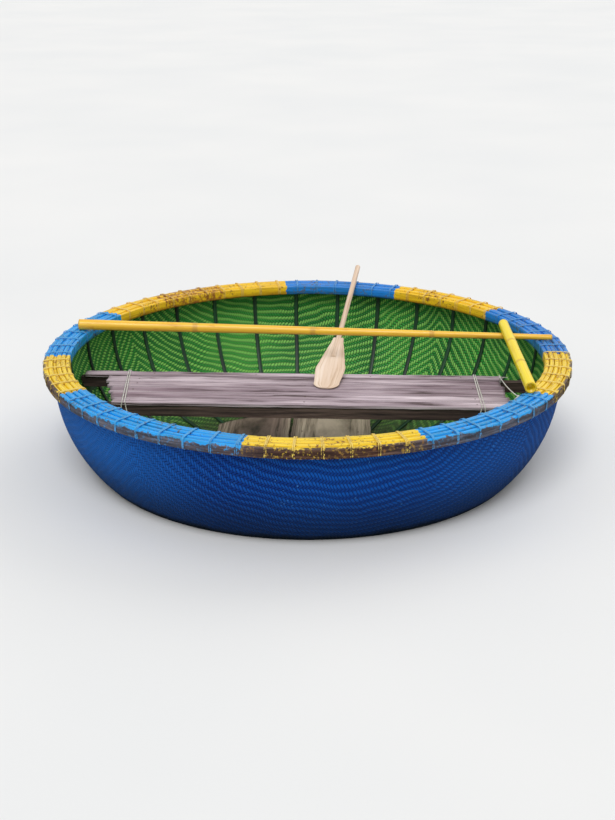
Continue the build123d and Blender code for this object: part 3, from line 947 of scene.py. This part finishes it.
def culm(name, node, start, end, diameters, joints, material, slot):
    """A bamboo culm: a tapered round along a line, with a lip and a waist at each joint.

    Its radius is the straight taper, plus a narrow bell at each joint and less a wider one just
    past it. The cut ends are open to a depth, with a bore of part of the radius. The attribute
    joint is a bell round each joint, and 1 at the cuts.
    """
    lip_height, lip_width = 0.0012, 0.0035
    waist_depth, waist_width, waist_offset = 0.0008, 0.006, 0.010
    bell, depth, bore, step = 0.013, 0.03, 0.7, 0.006
    start, end = np.array(start), np.array(end)
    length = np.linalg.norm(end - start)
    ahead = (end - start) / length
    side = unit(np.cross(ahead, [0, 0, 1.0]))
    above = np.cross(side, ahead)
    gone = np.linspace(0, length, int(length / step))[:, None]
    share = gone / length
    places = length * np.arange(1, joints + 1) / (joints + 1)
    lip = np.exp(-(((gone - places) / lip_width) ** 2)).sum(-1, keepdims=True)
    waist = gone - places - waist_offset
    waist = np.exp(-((waist / waist_width) ** 2)).sum(-1, keepdims=True)
    radius = (diameters[0] + share * (diameters[1] - diameters[0])) / 2
    radius = radius + lip_height * lip - waist_depth * waist
    # Out of one bore, along the skin and into the other
    first, last = radius[:1] * bore, radius[-1:] * bore
    radius = np.concatenate([[[0.0]], first, first, radius, last, last, [[0.0]]])
    down = np.array([[depth], [depth], [0.0]])
    gone = np.concatenate([down, gone, length - down[::-1]])
    turn = np.linspace(0, TURN, 29)
    radius = radius * (1 + 0.012 * waves(gone * 3, np.sin(turn) * 0.3, (0.3, 1.2)))
    outward = np.cos(turn)[:, None] * side + np.sin(turn)[:, None] * above
    points = (start + ahead * gone)[:, None, :] + radius[..., None] * outward
    uv = np.stack(np.broadcast_arrays(gone, turn * diameters[0] / 2), -1) + random.uniform(0, 9)
    made = piece(name, points[None], uv[None], [material], [node], slot)
    co = np.empty(len(made.data.vertices) * 3)
    made.data.vertices.foreach_get("co", co)
    along = (co.reshape(-1, 3) - start) @ ahead
    attribute = made.data.attributes.new("joint", "FLOAT", "POINT")
    value = np.exp(-(((along[:, None] - places) / bell) ** 2)).sum(-1)
    value = np.maximum(value, (along < 0.0015) | (along > length - 0.0015))
    attribute.data.foreach_set("value", value.astype(np.float32))


culm("cross_pole_culm", "cross_pole", *pole_ends, pole_diameters, 3, golden_skin, "golden_bamboo")
culm("oar_bar_culm", "oar_bar", *bar_ends, bar_diameters, 2, yellow_skin, "yellow_bamboo")


# Pegs


def peg_ends(name, places, spread, slot):
    """Wooden peg ends, 8 mm across: profiles of radius and height turned about +Z.

    Each lies up to spread away from its place, and with its crown just above the board.
    """
    profile = [(0.0, 1.0), (2.0, 0.9), (3.4, 0.5), (4.0, -0.2), (4.0, -3.0), (0.0, -3.0)]
    radius, height = np.array(profile).T[..., None] / 1000
    places = np.array(places) + random.uniform(-1, 1, (len(places), 3)) * spread - [0, 0, 0.0012]
    peg = round_about(np.linspace(0, TURN, 13), radius, height)
    uv = peg[..., :2] + np.arange(len(places))[:, None, None, None] * 0.1
    piece(name, places[:, None, None, :] + peg, uv, [peg_wood], slot=slot)


def bench_pegs():
    """One peg through each slat into each batten, beside the cords, and four in the rear slat."""
    slats = [(f"bench_slat_{number}", (-0.674, -0.008, 0.645)) for number in range(1, 6)]
    places = []
    for node, along in (*slats, ("bench_rear_slat", (-0.62, -0.21, 0.24, 0.60))):
        low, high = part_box(node)
        places += [(at, (low.y + high.y) / 2, high.z) for at in along]
    peg_ends("bench_pegs", places, [0.004, 0.005, 0.0], "bench_wood")


def floor_pegs():
    """Two pegs through each floor board into each bearer."""
    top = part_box("floor_board_left")[1].z
    places = []
    for node in ("floor_bearer_front", "floor_bearer_middle", "floor_bearer_rear"):
        low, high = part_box(node)
        places += [(at, (low.y + high.y) / 2, top) for at in (-0.345, -0.145, -0.035, 0.195)]
    peg_ends("floor_pegs", places, [0.005, 0.008, 0.0], "floor_wood")


bench_pegs()
floor_pegs()


# Paddle, along its own axes from the middle of the blade's tip


paddle_tip = np.array([0.0688, -0.0038, 0.2532])
paddle_lean, paddle_heading = np.radians(11.0), np.radians(83.8)
paddle_length = 1.080
blade_length, shaft_start = 0.400, 0.240
shaft_radius = 0.011
blade_wall = 0.006


def on_paddle(gone, across, up):
    """Points at a distance from the tip, across the blade and up from its middle plane."""
    c, s = np.cos(paddle_heading), np.sin(paddle_heading)
    ahead = np.array([c * np.cos(paddle_lean), s * np.cos(paddle_lean), np.sin(paddle_lean)])
    side = np.array([s, -c, 0.0])
    above = np.cross(side, ahead)
    gone, across, up = (np.asarray(v)[..., None] for v in np.broadcast_arrays(gone, across, up))
    return paddle_tip + gone * ahead + across * side + up * above


def paddle_blade():
    """A flat blade: straight sides from tip to shoulder to neck, averaged over 40 mm to round them.

    Its corners at the tip are quarter circles, and its squircle section thins towards the tip.
    """
    corner, shoulder, tip_wall = 0.034, 0.15, 0.003
    # Half its width at the tip, the shoulder and the neck
    half_widths = (0.046, 0.060, 0.021)
    gone = corner * (1 - np.cos(np.linspace(0, TURN / 4, 12)))
    gone = np.concatenate([gone, np.linspace(0.04, blade_length, 60)])
    near = gone[:, None] + np.linspace(-0.02, 0.02, 9)
    wide = np.interp(near, [0, shoulder, blade_length], half_widths).mean(1)
    short = np.clip(corner - gone, 0, corner)
    wide = (wide - corner + np.sqrt(corner**2 - short**2))[:, None]
    thick = np.interp(gone, [0, shaft_start], [tip_wall, blade_wall])[:, None]
    turn = np.linspace(0, TURN, 41)[None, :]
    c, s = squircle(turn, 3.5)
    nick = 0.0008 * waves(gone[:, None], 0, (0.02, 0.12))
    points = close_ends(on_paddle(gone[:, None], (wide + nick) * c, thick * s)[None])
    uv = grid_uv(points, 0.2)
    piece("blade_worn", points, uv, [paddle_wood], ["paddle_blade"], "paddle_wood")


def paddle_shaft():
    """A round shaft, cut flat underneath where it laps the blade and scarfed at its lower end."""
    scarf_length, scarf_low, scarf_rise = 0.05, 0.0015, 0.0035
    gone = np.linspace(shaft_start, paddle_length, 160)[:, None]
    turn = np.linspace(0, TURN, 25)[None, :]
    radius = shaft_radius * (1 - 0.006 * (1 + waves(gone * 3, np.cos(turn) * 0.2, (0.2, 0.8))))
    flat_cut = np.where(gone < blade_length + seat_gap, blade_wall + seat_gap, -shaft_radius)
    scarf = blade_wall + scarf_low + scarf_rise * np.clip((gone - shaft_start) / scarf_length, 0, 1)
    crown = np.where(gone < shaft_start + scarf_length, scarf, shaft_radius)
    up = np.clip(radius * np.sin(turn), flat_cut, crown)
    points = close_ends(on_paddle(gone, radius * np.cos(turn), up)[None])
    uv = grid_uv(points, 0.07)
    piece("shaft_worn", points, uv, [paddle_wood], ["paddle_shaft"], "paddle_wood")


paddle_blade()
paddle_shaft()


# Stage: a floor at the waterline, open where the hull passes through it


def floor():
    """A flat ring from the middle of the hull's wall out to far away."""
    slopes = np.linspace(0, np.pi / 2, 2000)
    line = hull_line(slopes, hull_wall / 2)
    inner = np.interp(0.0, line[1], line[0])
    azimuth = np.linspace(0, TURN, 181)[None, :]
    radius = np.array([inner, 1.0, 1.5, 3.0, 8.0, 60.0])[:, None]
    points = round_about(azimuth, radius, 0 * azimuth)
    made = piece("floor", points[None], points[None, ..., :2], [floor_finish], closed=False)


floor()


# Light and camera


def studio():
    """Soft light from all round, a broad key from the front and above, and a weaker one behind.

    The camera sees the sky brighter than it shines, so that it goes over into the floor.
    """
    world = bpy.data.worlds.new("studio")
    bpy.context.scene.world = world
    world.use_nodes = True
    tree = world.node_tree
    tree.nodes.clear()
    seen = add(tree, "LightPath").outputs["Is Camera Ray"]
    strength = add(tree, "MapRange", [seen, 0.0, 1.0, 0.66, 0.90])
    sky = add(tree, "Background", {"Color": "#ffffff", "Strength": strength})
    add(tree, "OutputWorld", {"Surface": sky})
    for name, energy, angle, source in (
        ("key", 1.40, 30, (-0.5, -3.0, 4.4)),
        ("back", 0.45, 40, (2.5, 3.0, 3.0)),
    ):
        sun = bpy.data.lights.new(name, "SUN")
        sun.energy = energy
        sun.angle = np.radians(angle)
        lamp = bpy.data.objects.new(name, sun)
        lamp.rotation_euler = (-Vector(source)).to_track_quat("-Z", "Y").to_euler()
        bpy.context.collection.objects.link(lamp)


studio()

# The camera stands where the photograph's does, with a longer lens
camera_data = bpy.data.cameras.new("camera")
camera_data.sensor_width = 36.0
camera_data.lens = 60.0
camera = bpy.data.objects.new("camera", camera_data)
camera.location = (0.216, -4.988, 2.054)
aim = Vector((0.0, 0.0, 0.16))
camera.rotation_euler = (aim - camera.location).to_track_quat("-Z", "Y").to_euler()
bpy.context.collection.objects.link(camera)
bpy.context.scene.camera = camera
bpy.context.scene.view_settings.view_transform = "Standard"
